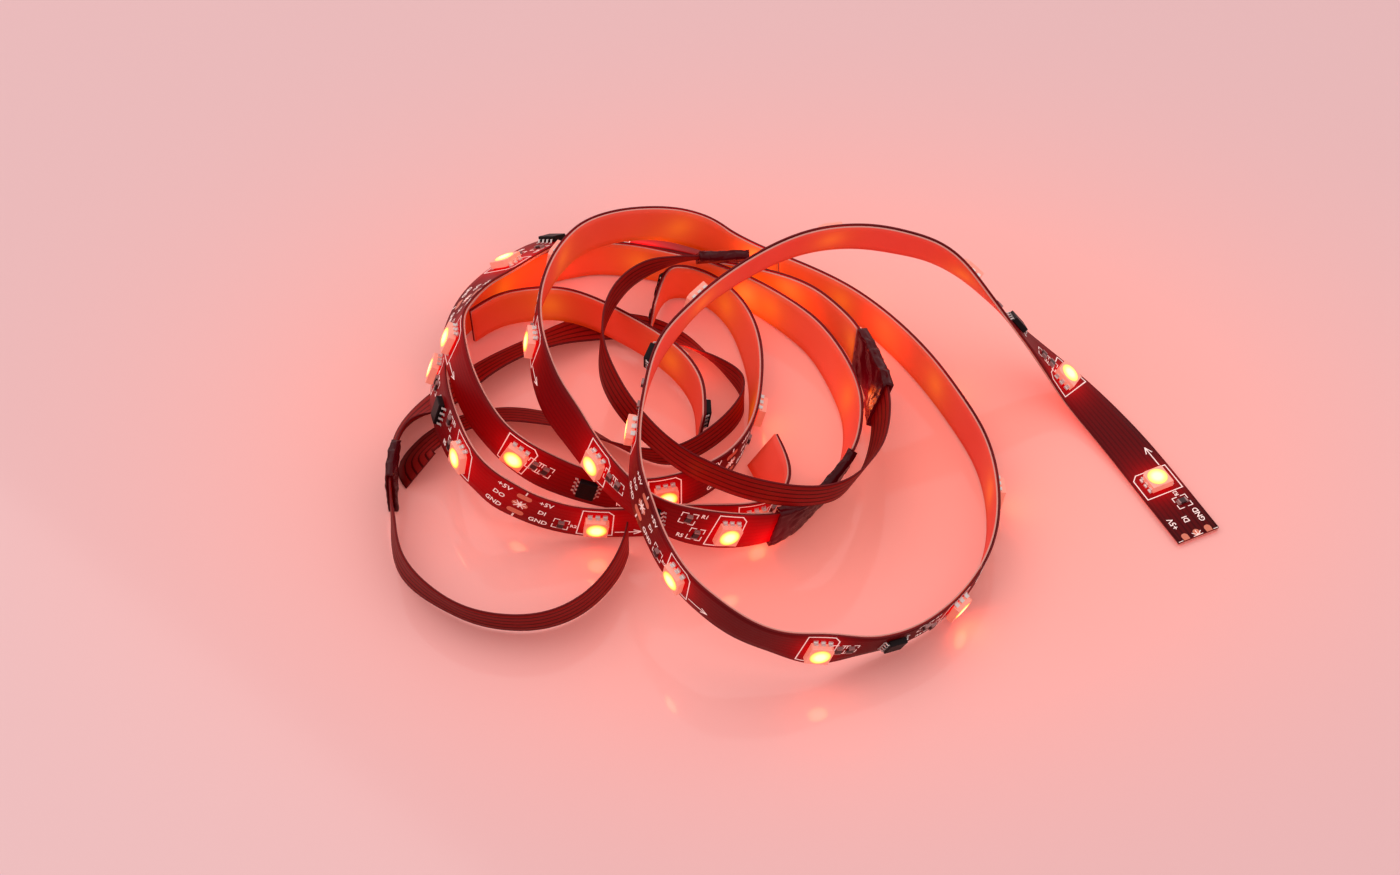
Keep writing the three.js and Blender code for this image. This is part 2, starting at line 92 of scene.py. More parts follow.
# Routes: x, y, height of the strip's middle, lean of its upper edge to the left of travel in degrees
OUTER_ROUTE = [
    (107.5, -23, 0.675, 90), (104, -16, 0.675, 90), (100.5, -9, 0.675, 90), (96, 0, 0.7, 90),
    (90.5, 10.5, 1, 86), (81.5, 24.5, 1.9, 75), (68.5, 29.5, 15.5, 54), (61.5, 32, 23.5, 42),
    (56, 34, 29, 31), (50, 35, 33.5, 24), (42.5, 34.5, 36.5, 21), (34, 33, 40, 20), (23, 29.5, 42, 20),
    (13.5, 23.5, 42.5, 20), (5, 17, 41.5, 20), (0, 12.5, 40.5, 20), (-4, 7.5, 39.5, 15),
    (-8, 2.5, 38, 10), (-10.5, -3, 36, 8), (-12, -9.5, 33.5, 8), (-13.5, -17.5, 30, 10),
    (-13.5, -26, 27, 12), (-11, -32.5, 24, 10), (-8, -40, 21.5, 4), (-3.5, -46.5, 19, -2),
    (1, -51, 18, -6), (8, -54.5, 14, -12), (16, -56, 11.5, -20), (24, -55.5, 9, 2), (32, -53, 6.5, -24),
    (38.5, -50.5, 5.4, -26), (44.5, -47.5, 5, -25), (52, -41, 5, -20), (59, -30.5, 5, -13),
    (62, -18.5, 5, -9), (62, -6, 5, -8), (60, 4.5, 5, -8), (55.5, 15, 5, -8), (50, 26.5, 5, -8),
    (42.5, 38, 5, -5), (33.5, 48.5, 5, 0), (22.5, 56, 5, 3), (12.5, 61.5, 5, 3), (4.5, 67, 6, 3),
    (-2.5, 66, 10.8, 3), (-8, 64.5, 13.6, 3), (-13.5, 63, 15, 3), (-20, 60.5, 16.3, 3),
    (-27, 56.5, 16.8, 4), (-32, 46.5, 18.5, 6), (-34.5, 35.5, 21, 8), (-35.5, 25, 23.5, 10),
    (-35, 15, 24.5, 15), (-33.5, 8, 24, 20), (-31, 1, 22.5, 22), (-26.5, -5, 20.5, 18),
    (-23, -11, 19, 12), (-18, -17, 17, 5), (-12.5, -22.5, 15.8, 0), (-6.5, -26.5, 15.6, 0),
    (0, -26, 12.5, 0), (7, -24, 9, 0), (16, -21, 6.6, -10), (22, -16.5, 6.6, -20), (27.5, -8.5, 6.6, -20),
    (31.5, -1.5, 6, -20), (33, 6.5, 5, -20), (33.5, 14.5, 5, -20), (31.5, 23, 5, -20), (28, 32, 5, -15),
    (24, 39, 5, -10), (16.5, 46.5, 5, -5), (9, 52.5, 5, 0), (0, 57, 5, 0), (-8, 59.5, 5, 0),
    (-14.5, 61.5, 5, 0), (-22.5, 62.5, 5, 0), (-28, 61.5, 5, 0), (-34, 59.5, 5, 0), (-39.5, 56.5, 5, 0),
    (-45, 52.5, 5, 0), (-49.5, 46.5, 5, 5), (-53, 40, 5.1, 12), (-56, 33, 6.2, 18), (-57, 23.5, 8.4, 22),
    (-56, 11.5, 12, 22), (-53.5, 1.5, 14, 20), (-50.5, -7, 15.5, 15), (-47, -13, 15.5, 5),
    (-43, -16, 13.5, 0), (-39, -17, 11, -4), (-34.5, -18, 9, -6), (-29, -18.5, 7, -8),
    (-23, -18.5, 5.6, -8), (-16.5, -18, 5, -8), (-10.5, -17.5, 5, -6), (-4, -17, 5, -5), (3, -17, 5, -6),
    (10.5, -16.5, 5, -10), (16, -13.5, 5, -20), (17, -8, 5, -30), (15.5, -2, 4.6, -38),
    (13.5, 3.5, 4.2, -42),
]
INNER_ROUTE = [
    (10.5, 52, 15.3, 43), (5, 51.5, 15.3, 43), (-0.5, 51.5, 15.3, 43), (-5, 50.5, 15.5, 38),
    (-10, 48, 15.8, 28), (-14.5, 43.5, 17.4, 18), (-18.5, 37, 18.2, 8), (-21, 29.5, 18.4, 4),
    (-21.5, 21.5, 17.8, 5), (-20.5, 15.5, 16.8, 8), (-18, 9.5, 16, 6), (-14.5, 3, 16, 0),
    (-10.5, -2.5, 16, -5), (-6.5, -7.5, 16, -8), (-1.5, -12, 16, -10), (3, -14.5, 16, -12),
    (8.5, -18.5, 17, -14), (16.5, -22, 18.2, -16), (24.5, -22.5, 18.2, -20), (30, -19.5, 17.4, -22),
    (33.5, -13, 15, -25), (36.5, -6, 13, -25), (38, 1.5, 11, -24), (39, 11, 9, -20), (38, 19.5, 7.5, -15),
    (36, 27.5, 6.6, -10), (34, 35.5, 5.6, -5), (30.5, 42, 5, 0), (26.5, 47.5, 5, 5), (21.5, 51.5, 5, 10),
    (14.5, 55.5, 5, 20), (9, 58.5, 4.6, 32), (3.5, 62, 4, 45), (-2.5, 66, 3.5, 55), (-9, 69, 3.3, 60),
    (-18, 70.5, 3.3, 60), (-25, 70.5, 3.6, 60), (-31.5, 66.5, 6.4, 60), (-37, 60.5, 10, 60),
    (-43, 51, 13, 58), (-48.5, 44, 14.4, 50), (-51.5, 35.5, 16.6, 40), (-53.5, 27.5, 18.2, 30),
    (-52.5, 18.5, 20.4, 24), (-50.5, 10, 20, 20), (-48, 4.5, 17.6, 18), (-44.5, -1, 16.5, 12),
    (-41, -5, 15, 6), (-35.5, -7.5, 12, 2), (-29.5, -8, 8, 0), (-21, -9, 5, 0), (-12.5, -10.5, 5, 0),
    (-6.5, -9.5, 5, 0), (-0.5, -7, 5, 0), (5, -3, 5, -8), (9, 3, 5, -12), (11.5, 10, 5, -12),
    (12.5, 19, 5, -12), (12.5, 28, 5, -15), (11, 36.5, 5, -18), (8.5, 44, 5, -12), (4, 50.5, 5, -5),
    (-1, 54, 5, 0), (-5.5, 55, 5, 2), (-8.5, 52, 6, 6), (-10, 45, 7.4, 8), (-11, 39.5, 7.8, 8),
]
LOOP_ROUTE = [
    (0.5, 8.5, 5.4, -8), (0.5, 13.5, 5.6, -9), (0, 19, 6, -8), (-3, 25, 6.6, -6), (-7, 29.5, 7.2, -3),
    (-13, 34.5, 7.8, 0), (-22, 41.5, 7.4, 0), (-29, 45.5, 6.8, 0), (-34.5, 46.5, 6.2, 0), (-40, 46, 6, 0),
    (-45.5, 44.5, 5.8, 0), (-50.5, 40, 5.4, 0),
]
LOWER_ROUTE = [
    (-59.5, -1.5, 3.2, -50), (-61.5, 1.5, 3.2, -50), (-59, 5.5, 3.2, -56), (-55, 10.5, 3.2, -60),
    (-47.5, 14.5, 3.2, -60), (-41, 15.5, 3.2, -60), (-33.5, 14, 3.2, -58), (-27, 11.5, 3.4, -50),
    (-20.5, 6.5, 4, -40), (-13, 2, 4.6, -30), (-7, 0.5, 5, -22), (-1.5, 3, 5, -15), (4.5, 8.5, 5, -10),
    (9, 15, 5, -5), (10, 20.5, 5, 0), (7, 25.5, 4.8, 15), (2, 31, 4.2, 30), (-4.5, 38, 2.8, 58),
    (-11, 43, 1.3, 78), (-19, 44.5, 1.2, 80), (-26.5, 43, 1.4, 80), (-34.5, 38, 2.8, 60),
    (-43, 33, 3, 58), (-50.5, 26.5, 2.9, 60), (-56.5, 19.5, 2.5, 70), (-61.5, 14, 3.4, 50),
    (-64.5, 8, 5, 24), (-65, 0.5, 6, 8), (-65, -7, 6.3, 0), (-65, -14, 6.3, 0), (-64, -20, 5.4, 8),
    (-63, -27, 5, 4), (-59.5, -33.5, 5, -8), (-53, -39.5, 5, -18), (-46, -44, 5, -22),
    (-36.5, -45.5, 5, -22), (-29.5, -44, 5, -20), (-23.5, -40, 5, -14), (-19, -34, 5, -8),
    (-16, -27.5, 5, -2), (-15, -22, 5, 0),
]

LED_PLACES = [UNIT / 6, UNIT / 2, UNIT * 5 / 6]
CHIP_PLACE = UNIT * 4 / 6
FIRST_RESISTOR = LED_PLACES[0] - 7.1
FIRST_CAPACITOR = LED_PLACES[1] + 4.3
SECOND_CAPACITOR = LED_PLACES[1] + 6.9
CHIP_RESISTOR = CHIP_PLACE + 6.9
LAST_RESISTOR = LED_PLACES[2] - 6.4
# Small parts of a unit: place along it and off its middle
RESISTORS = [
    (FIRST_RESISTOR, -2.0),
    (FIRST_CAPACITOR, 0.0),
    (SECOND_CAPACITOR, 0.0),
    (CHIP_RESISTOR, 2.0),
    (LAST_RESISTOR, -2.0),
]


class Route:
    """A uniform cubic B-spline over the route's points, read by distance."""

    DIVISIONS_PER_POINT = 20
    TANGENT_STEP = 0.0001

    def __init__(self, points):
        self.points = points
        self.divisions = self.DIVISIONS_PER_POINT * len(points)
        self.lengths = [0.0]
        last = self.point(0.0)
        for i in range(1, self.divisions + 1):
            here = self.point(i / self.divisions)
            self.lengths.append(self.lengths[-1] + (here - last).length)
            last = here
        self.length = self.lengths[-1]

    def control(self, i):
        last = len(self.points) - 1
        if i < 0:
            return [2 * a - b for a, b in zip(self.points[0], self.points[1])]
        if i > last:
            return [2 * a - b for a, b in zip(self.points[last], self.points[last - 1])]
        return self.points[i]

    def blend(self, t):
        last = len(self.points) - 1
        span = min(max(int(math.floor(t * last)), 0), last - 1)
        f = t * last - span
        weights = ((1 - f) ** 3, 3 * f**3 - 6 * f * f + 4, -3 * f**3 + 3 * f * f + 3 * f + 1, f**3)
        total = [0.0] * 4
        for k, weight in enumerate(weights):
            for column, value in enumerate(self.control(span - 1 + k)):
                total[column] += weight * value / 6
        return total

    def point(self, t):
        return Vector(self.blend(t)[:3])

    def at(self, distance):
        """Middle point and the along, across and front axes of the strip at a distance."""
        distance = min(max(distance, 0.0), self.length)
        i = min(max(bisect.bisect_right(self.lengths, distance) - 1, 0), self.divisions - 1)
        step = self.lengths[i + 1] - self.lengths[i]
        t = (i + (distance - self.lengths[i]) / step) / self.divisions
        ahead = self.point(min(t + self.TANGENT_STEP, 1.0))
        behind = self.point(max(t - self.TANGENT_STEP, 0.0))
        along = (ahead - behind).normalized()
        up = Vector((0, 0, 1))
        upright = (up - along * up.dot(along)).normalized()
        left = upright.cross(along)
        values = self.blend(t)
        lean = math.radians(values[3])
        across = upright * math.cos(lean) + left * math.sin(lean)
        return Vector(values[:3]), along, across, along.cross(across)

    def seat(self, distance, across_shift=0.0, lift=0.0):
        """A flat seat on the strip's front, as a matrix."""
        point, along, across, front = self.at(distance)
        middle = point + across * across_shift + front * (BOARD_THICKNESS / 2 + lift)
        matrix = Matrix((along, across, front)).transposed().to_4x4()
        matrix.translation = middle
        return matrix


ROUTES = {
    "outer": Route(OUTER_ROUTE),
    "inner": Route(INNER_ROUTE),
    "loop": Route(LOOP_ROUTE),
    "lower": Route(LOWER_ROUTE),
}

# Distances along the routes: where strips and leads meet, and a cut line of each strip
OUTER_START = 6.0
FAR_JOINT = OUTER_START + 4 * UNIT
FRONT_JOINT = 582.7
RIGHT_JOINT = 172.0
LEFT_JOINT = 206.0
BRIDGE_START = 2.0
MIDDLE_PADS = 805.8
INNER_PADS = 399.5
LOOP_PADS = -62.0

# How far each sleeve reaches before and after its joint
FRONT_BEFORE = 6.0
FRONT_AFTER = 18.0
RIGHT_BEFORE = 12.0
RIGHT_AFTER = 8.0
LEFT_REACH = 5.0
BACK_SLEEVE_END = 11.0
LINER_MARGIN = 1.0

# A strip from start to end of a route, with a cut line at pads and the lengths that sleeves cover
Strip = namedtuple("Strip", "name route start end pads sleeved_start sleeved_end")
STRIPS = [
    Strip("outer_strip", ROUTES["outer"], OUTER_START, FAR_JOINT, OUTER_START, 0.0, 0.0),
    Strip("far_strip", ROUTES["outer"], FAR_JOINT + JOINT_GAP, FRONT_JOINT, FRONT_JOINT, 0.0, FRONT_BEFORE),
    Strip("middle_strip", ROUTES["outer"], FRONT_JOINT + JOINT_GAP, ROUTES["outer"].length, MIDDLE_PADS,
          FRONT_AFTER, 0.0),
    Strip("inner_strip", ROUTES["inner"], RIGHT_JOINT + JOINT_GAP, ROUTES["inner"].length, INNER_PADS,
          RIGHT_AFTER, 0.0),
    Strip("loop_strip", ROUTES["loop"], 0.0, ROUTES["loop"].length, LOOP_PADS, 0.0, 0.0),
]
# name, route, start, end
LEADS = [
    ("bridge_lead", ROUTES["inner"], BRIDGE_START, RIGHT_JOINT),
    ("return_lead", ROUTES["lower"], 0.0, LEFT_JOINT),
    ("floor_lead", ROUTES["lower"], LEFT_JOINT + JOINT_GAP, ROUTES["lower"].length),
]
SLEEVES = [
    ("front_sleeve", ROUTES["outer"], FRONT_JOINT - FRONT_BEFORE, FRONT_JOINT + FRONT_AFTER),
    ("back_sleeve", ROUTES["inner"], 0.0, BACK_SLEEVE_END),
    ("right_sleeve", ROUTES["inner"], RIGHT_JOINT - RIGHT_BEFORE, RIGHT_JOINT + RIGHT_AFTER),
    ("left_sleeve", ROUTES["lower"], LEFT_JOINT - LEFT_REACH, LEFT_JOINT + LEFT_REACH),
]


def strip_places(strip, place, length):
    """Where one kind of component sits on a strip, in every unit that holds all of it."""
    low = strip.start + strip.sleeved_start + length / 2
    high = strip.end - strip.sleeved_end - length / 2
    unit = math.ceil((low - strip.pads - place) / UNIT)
    found = []
    while strip.pads + unit * UNIT + place <= high:
        found.append(strip.pads + unit * UNIT + place)
        unit += 1
    return found


def led_seats():
    """Every lamp's seat, in the frame's order of numbers."""
    seats = []
    for strip in STRIPS:
        places = sorted(p for place in LED_PLACES for p in strip_places(strip, place, LED_SIDE))
        seats += [strip.route.seat(place, 0.0, SEAT_GAP) for place in places]
    return seats


LED_SEATS = led_seats()


# Materials
NO_GLOW = (0.0, 0.0, 0.0)
# Power that makes the glow fall off faster than the lamps' light
GLOW_FALL = 1.6
TRACE_COUNT = 9
TRACE_SHARE = 0.62
TRACE_AREA = 0.88
CONDUCTOR_COUNT = 5
CONDUCTOR_SHARE = 0.74


def new_material(name):
    material = bpy.data.materials.new(name)
    material.use_nodes = True
    tree = material.node_tree
    return material, tree, tree.nodes["Principled BSDF"]


def node(tree, kind, **values):
    made = tree.nodes.new(kind)
    for key, value in values.items():
        setattr(made, key, value)
    return made


def math_node(tree, operation, first, second=None, third=None):
    made = node(tree, "ShaderNodeMath", operation=operation)
    for socket, value in zip(made.inputs, (first, second, third)):
        if value is None:
            continue
        if isinstance(value, (int, float)):
            socket.default_value = value
        else:
            tree.links.new(value, socket)
    return made.outputs[0]


def mix_colour(tree, factor, first, second):
    made = node(tree, "ShaderNodeMix", data_type="RGBA")
    for socket, value in ((made.inputs[0], factor), (made.inputs[6], first), (made.inputs[7], second)):
        if isinstance(value, (int, float)):
            socket.default_value = value
        elif isinstance(value, tuple):
            socket.default_value = (*value, 1.0)
        else:
            tree.links.new(value, socket)
    return made.outputs[2]


def set_input(shader, name, value):
    shader.inputs[name].default_value = value


def grain_group():
    """Fine mottling in two sizes, for films and papers."""
    group = bpy.data.node_groups.new("film_grain", "ShaderNodeTree")
    group.interface.new_socket("Scale", in_out="INPUT", socket_type="NodeSocketFloat")
    group.interface.new_socket("Grain", in_out="OUTPUT", socket_type="NodeSocketFloat")
    entry = node(group, "NodeGroupInput")
    leave = node(group, "NodeGroupOutput")
    coordinates = node(group, "ShaderNodeTexCoord")
    total = None
    for factor, detail in ((1.0, 3.0), (5.0, 2.0)):
        cloud = node(group, "ShaderNodeTexNoise")
        cloud.inputs["Detail"].default_value = detail
        group.links.new(coordinates.outputs["Object"], cloud.inputs["Vector"])
        group.links.new(math_node(group, "MULTIPLY", entry.outputs[0], factor), cloud.inputs["Scale"])
        total = cloud.outputs[0] if total is None else math_node(group, "ADD", total, cloud.outputs[0])
    group.links.new(math_node(group, "MULTIPLY", total, 0.5), leave.inputs[0])
    return group


GRAIN = grain_group()


def grain(tree, scale):
    made = node(tree, "ShaderNodeGroup", node_tree=GRAIN)
    made.inputs[0].default_value = scale
    return made.outputs[0]


def bump(tree, shader, height, strength, distance):
    made = node(tree, "ShaderNodeBump")
    made.inputs["Strength"].default_value = strength
    made.inputs["Distance"].default_value = distance
    tree.links.new(height, made.inputs["Height"])
    tree.links.new(made.outputs[0], shader.inputs["Normal"])


def across_strip(tree):
    """0 at the strip's lower edge and 1 at its upper edge."""
    uv = node(tree, "ShaderNodeUVMap", uv_map="strip")
    split = node(tree, "ShaderNodeSeparateXYZ")
    tree.links.new(uv.outputs[0], split.inputs[0])
    return split.outputs[1]


def lamp_light(tree):
    """How much light the lamps throw on a point, as lamp_level works it out."""
    return node(tree, "ShaderNodeAttribute", attribute_name="lamp_light").outputs["Fac"]


def near_lamps(tree):
    """The lamps' light with a steeper fall, for a glow."""
    return math_node(tree, "POWER", lamp_light(tree), GLOW_FALL)


def set_glow(tree, shader, factor, dark, lit, strength):
    """A glow between two colours, by a factor."""
    tree.links.new(mix_colour(tree, factor, dark, lit), shader.inputs["Emission Color"])
    set_input(shader, "Emission Strength", strength)


def stripes(tree, across, count, share):
    """1 on each of a number of lines that run along the strip and take a share of its width."""
    phase = math_node(tree, "FRACT", math_node(tree, "MULTIPLY", across, float(count)))
    off_middle = math_node(tree, "ABSOLUTE", math_node(tree, "SUBTRACT", phase, 0.5))
    return math_node(tree, "LESS_THAN", off_middle, share / 2)


def board_material():
    material, tree, shader = new_material("solder_mask")
    across = across_strip(tree)
    mottle = grain(tree, 60.0)
    traces = stripes(tree, across, TRACE_COUNT, TRACE_SHARE)
    off_middle = math_node(tree, "ABSOLUTE", math_node(tree, "SUBTRACT", across, 0.5))
    traces = math_node(tree, "MULTIPLY", traces, math_node(tree, "LESS_THAN", off_middle, TRACE_AREA / 2))
    # The mask and its traces are black tinted dark red: the red is painted lamp light, the mottle random
    # tone.
    mask = mix_colour(tree, mottle, (0.020, 0.0006, 0.0016), (0.060, 0.0012, 0.0026))
    mask = mix_colour(tree, math_node(tree, "MULTIPLY", traces, 0.5), mask, (0.11, 0.0022, 0.0035))
    tree.links.new(mask, shader.inputs["Base Color"])
    set_glow(tree, shader, near_lamps(tree), NO_GLOW, (1.0, 0.0, 0.002), strength=2.1)
    roughness = math_node(tree, "ADD", 0.38, math_node(tree, "MULTIPLY", mottle, 0.2))
    tree.links.new(roughness, shader.inputs["Roughness"])
    set_input(shader, "Specular IOR Level", 0.08)
    height = math_node(tree, "ADD", traces, math_node(tree, "MULTIPLY", mottle, 0.4))
    bump(tree, shader, height, strength=0.35, distance=0.00003)
    return material


def lead_material():
    material, tree, shader = new_material("flat_lead_film")
    across = across_strip(tree)
    mottle = grain(tree, 45.0)
    conductors = stripes(tree, across, CONDUCTOR_COUNT, CONDUCTOR_SHARE)
    film = mix_colour(tree, mottle, (0.020, 0.0006, 0.001), (0.055, 0.0015, 0.002))
    film = mix_colour(tree, math_node(tree, "MULTIPLY", conductors, 0.85), film, (0.26, 0.010, 0.008))
    tree.links.new(film, shader.inputs["Base Color"])
    set_glow(tree, shader, near_lamps(tree), NO_GLOW, (0.9, 0.004, 0.004), strength=1.0)
    set_input(shader, "Roughness", 0.5)
    set_input(shader, "Specular IOR Level", 0.06)
    bump(tree, shader, conductors, strength=1.0, distance=0.00015)
    return material


def liner_material():
    material, tree, shader = new_material("release_paper")
    mottle = grain(tree, 30.0)
    paper = mix_colour(tree, mottle, (0.66, 0.060, 0.042), (0.84, 0.105, 0.078))
    tree.links.new(paper, shader.inputs["Base Color"])
    set_glow(tree, shader, near_lamps(tree), (0.28, 0.0, 0.0), (1.0, 0.25, 0.0), strength=0.8)
    set_input(shader, "Roughness", 0.6)
    set_input(shader, "Specular IOR Level", 0.25)
    bump(tree, shader, grain(tree, 900.0), strength=0.12, distance=0.00003)
    return material


def sleeve_material():
    material, tree, shader = new_material("heat_shrink")
    mottle = grain(tree, 40.0)
    # The film is black tinted dark red: the red is painted lamp light, the mottle random tone.
    film = mix_colour(tree, mottle, (0.006, 0.0004, 0.0012), (0.038, 0.0010, 0.0030))
    tree.links.new(film, shader.inputs["Base Color"])
    roughness = math_node(tree, "ADD", 0.16, math_node(tree, "MULTIPLY", mottle, 0.16))
    tree.links.new(roughness, shader.inputs["Roughness"])
    set_glow(tree, shader, lamp_light(tree), NO_GLOW, (0.22, 0.0, 0.004), strength=1.0)
    set_input(shader, "Specular IOR Level", 0.16)
    coordinates = node(tree, "ShaderNodeTexCoord")
    folds = node(tree, "ShaderNodeTexNoise")
    for name, value in (("Scale", 130.0), ("Detail", 0.0), ("Distortion", 0.8)):
        folds.inputs[name].default_value = value
    tree.links.new(coordinates.outputs["Object"], folds.inputs["Vector"])
    creases = math_node(tree, "ABSOLUTE", math_node(tree, "SUBTRACT", folds.outputs[0], 0.5))
    bump(tree, shader, creases, strength=0.9, distance=0.0022)
    return material


def plain_material(name, colour, roughness, metallic=0.0, spread=0.25, glow=None, strength=0.0, shine=0.5):
    """One colour with fine mottling, for small parts and edges."""
    material, tree, shader = new_material(name)
    dark = tuple(c * (1 - spread) for c in colour)
    tree.links.new(mix_colour(tree, grain(tree, 400.0), dark, colour), shader.inputs["Base Color"])
    set_input(shader, "Roughness", roughness)
    set_input(shader, "Metallic", metallic)
    set_input(shader, "Specular IOR Level", shine)
    if glow:
        set_input(shader, "Emission Color", (*glow, 1.0))
        set_input(shader, "Emission Strength", strength)
    bump(tree, shader, grain(tree, 1600.0), strength=0.1, distance=0.00002)
    return material


def lens_material():
    """Deep orange at the rim and pale in the middle, dimmer to the camera than as a lamp."""
    material, tree, shader = new_material("lit_lens")
    core = node(tree, "ShaderNodeAttribute", attribute_name="core").outputs["Fac"]
    ramp = node(tree, "ShaderNodeValToRGB")
    stops = [
        (0.0, (1.0, 0.055, 0.004)),
        (0.12, (1.0, 0.13, 0.008)),
        (0.3, (1.0, 0.20, 0.04)),
        (0.6, (1.0, 0.24, 0.12)),
    ]
    while len(ramp.color_ramp.elements) < len(stops):
        ramp.color_ramp.elements.new(0.5)
    for element, (position, colour) in zip(ramp.color_ramp.elements, stops):
        element.position = position
        element.color = (*colour, 1.0)
    tree.links.new(core, ramp.inputs[0])
    tree.links.new(ramp.outputs[0], shader.inputs["Emission Color"])
    seen = node(tree, "ShaderNodeLightPath").outputs["Is Camera Ray"]
    strength = math_node(tree, "SUBTRACT", 13.0, math_node(tree, "MULTIPLY", seen, 8.0))
    tree.links.new(strength, shader.inputs["Emission Strength"])
    set_input(shader, "Base Color", (0.9, 0.5, 0.2, 1.0))
    set_input(shader, "Roughness", 0.15)
    return material


BOARD = board_material()
BOARD_EDGE = plain_material("cut_edge", (0.17, 0.012, 0.014), 0.6, shine=0.1)
LINER_EDGE = plain_material("liner_edge", (0.86, 0.36, 0.30), 0.6, shine=0.2)
LEAD = lead_material()
LINER = liner_material()
SLEEVE = sleeve_material()
LENS = lens_material()
PACKAGE = plain_material("led_package", (0.88, 0.44, 0.36), 0.35, glow=(1.0, 0.10, 0.03), strength=0.4)
TIN = plain_material("tinned_metal", (0.94, 0.84, 0.80), 0.3, 0.55)
EPOXY = plain_material("black_epoxy", (0.010, 0.003, 0.004), 0.45, shine=0.14)
CERAMIC = plain_material("resistor_ceramic", (0.05, 0.012, 0.014), 0.4)
SOLDER = plain_material("dull_solder", (0.50, 0.27, 0.26), 0.4, 0.5)
INK = plain_material("white_ink", (0.90, 0.74, 0.70), 0.5, spread=0.12, glow=(0.8, 0.5, 0.45), strength=0.45)
COPPER = plain_material("pad_copper", (0.80, 0.24, 0.15), 0.35, 0.5, glow=(0.8, 0.10, 0.05), strength=0.1)


NEAREST_LIGHT = 1.5
FARTHEST_LIGHT = 60.0
# Share of a lamp's light that goes to all sides, and the scale that gives levels from 0 to 1
SIDE_LIGHT = 0.35
LIGHT_SCALE = 22.0


def lamp_level(point):
    """How much light the lamps throw on a point, from 0 to 1."""
    total = 0.0
    for seat in LED_SEATS:
        ray = point - seat.translation - seat.col[2].xyz * LED_HEIGHT
        reach = max(ray.length, NEAREST_LIGHT)
        if reach > FARTHEST_LIGHT:
            continue
        facing = max(ray.normalized().dot(seat.col[2].xyz), 0.0) * (1 - SIDE_LIGHT) + SIDE_LIGHT
        total += facing / (reach * reach)
    total *= LIGHT_SCALE
    return total / (total + 1.0)


def finish_mesh(name, bm, materials, glows=True):
    """Makes the object of a bmesh that is in route millimetres."""
    mesh = bpy.data.meshes.new(name)
    levels = [lamp_level(v.co) for v in bm.verts] if glows else None
    to_frame = Matrix.Diagonal((MM, MM, MM, 1.0)) @ Matrix.Translation(PLACE)
    bmesh.ops.transform(bm, matrix=to_frame, verts=bm.verts)
    bm.to_mesh(mesh)
    bm.free()
    for material in materials:
        mesh.materials.append(material)
    if levels:
        mesh.attributes.new("lamp_light", "FLOAT", "POINT").data.foreach_set("value", levels)
    piece = bpy.data.objects.new(name, mesh)
    bpy.context.scene.collection.objects.link(piece)
    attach(piece, "root")
    return piece


def swept_band(route, start, end, offsets, step=FINE_STEP, closed=False, shift=None):
    """Extrudes a row of section points, each (depth, side), along a route."""
    bm = bmesh.new()
    along_layer = bm.verts.layers.float.new("along")
    side_layer = bm.verts.layers.float.new("side")
    count = max(2, int(round((end - start) / step)))

    def place(row, distance):
        point, _, across, front = route.at(distance)
        for vert, (depth, side) in zip(row, offsets):
            vert.co = point + front * depth + across * side
            if shift:
                vert.co += shift(distance, depth, side, across, front)
            vert[along_layer] = (distance - start) / UNIT
            vert[side_layer] = side / STRIP_WIDTH + 0.5

    def spot(vert):
        return tuple(round(c, 5) for c in vert.co)

    row = [bm.verts.new() for _ in offsets]
    place(row, start)
    pairs = list(zip(row, row[1:])) + ([(row[-1], row[0])] if closed else [])
    edges = [bm.edges.new(pair) for pair in pairs]
    for i in range(1, count + 1):
        grown = bmesh.ops.extrude_edge_only(bm, edges=edges)["geom"]
        edges = [g for g in grown if isinstance(g, bmesh.types.BMEdge)]
        # A fresh vertex lies on the old one it grew from, which tells its place in the row
        fresh = {spot(g): g for g in grown if isinstance(g, bmesh.types.BMVert)}
        row = [fresh[spot(vert)] for vert in row]
        place(row, start + (end - start) * i / count)
    uv = bm.loops.layers.uv.new("strip")
    for face in bm.faces:
        face.smooth = True
        for loop in face.loops:
            loop[uv].uv = (loop.vert[along_layer], loop.vert[side_layer])
    return bm


def thicken(piece, thickness, rim_material=0):
    wall = piece.modifiers.new("thickness", "SOLIDIFY")
    wall.thickness = thickness * MM
    wall.offset = -1.0
    wall.use_rim = True
    wall.material_offset_rim = rim_material


def flip_to_front(bm, route, start):
    """Turns the band's faces towards the strip's front."""
    bm.normal_update()
    bm.faces.ensure_lookup_table()
    front = route.at(start)[3]
    if bm.faces[0].normal.dot(front) < 0:
        bmesh.ops.reverse_faces(bm, faces=bm.faces)


def ribbon(name, route, start, end, width, front_depth, thickness, materials):
    """A band of one width and thickness, with its own material on the cut edges."""
    segments = 6
    offsets = [(front_depth, width * (k / segments - 0.5)) for k in range(segments + 1)]
    bm = swept_band(route, start, end, offsets)
    flip_to_front(bm, route, start)
    piece = finish_mesh(name, bm, materials)
    thicken(piece, thickness, rim_material=1)
    return piece


# Boards, liners and leads
for strip in STRIPS:
    board = ribbon(f"{strip.name}_board_fine", strip.route, strip.start, strip.end, STRIP_WIDTH,
                   BOARD_THICKNESS / 2, BOARD_THICKNESS, [BOARD, BOARD_EDGE])
    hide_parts(f"{strip.name}_board")
    liner_start = strip.start + strip.sleeved_start + (LINER_MARGIN if strip.sleeved_start else 0.0)
    liner_end = strip.end - strip.sleeved_end - (LINER_MARGIN if strip.sleeved_end else 0.0)
    liner = ribbon(f"{strip.name}_liner_fine", strip.route, liner_start, liner_end, LINER_WIDTH,
                   -BOARD_THICKNESS / 2 - SEAT_GAP / 2, LINER_THICKNESS + SEAT_GAP / 2,
                   [LINER, LINER_EDGE])
    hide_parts(f"{strip.name}_liner")

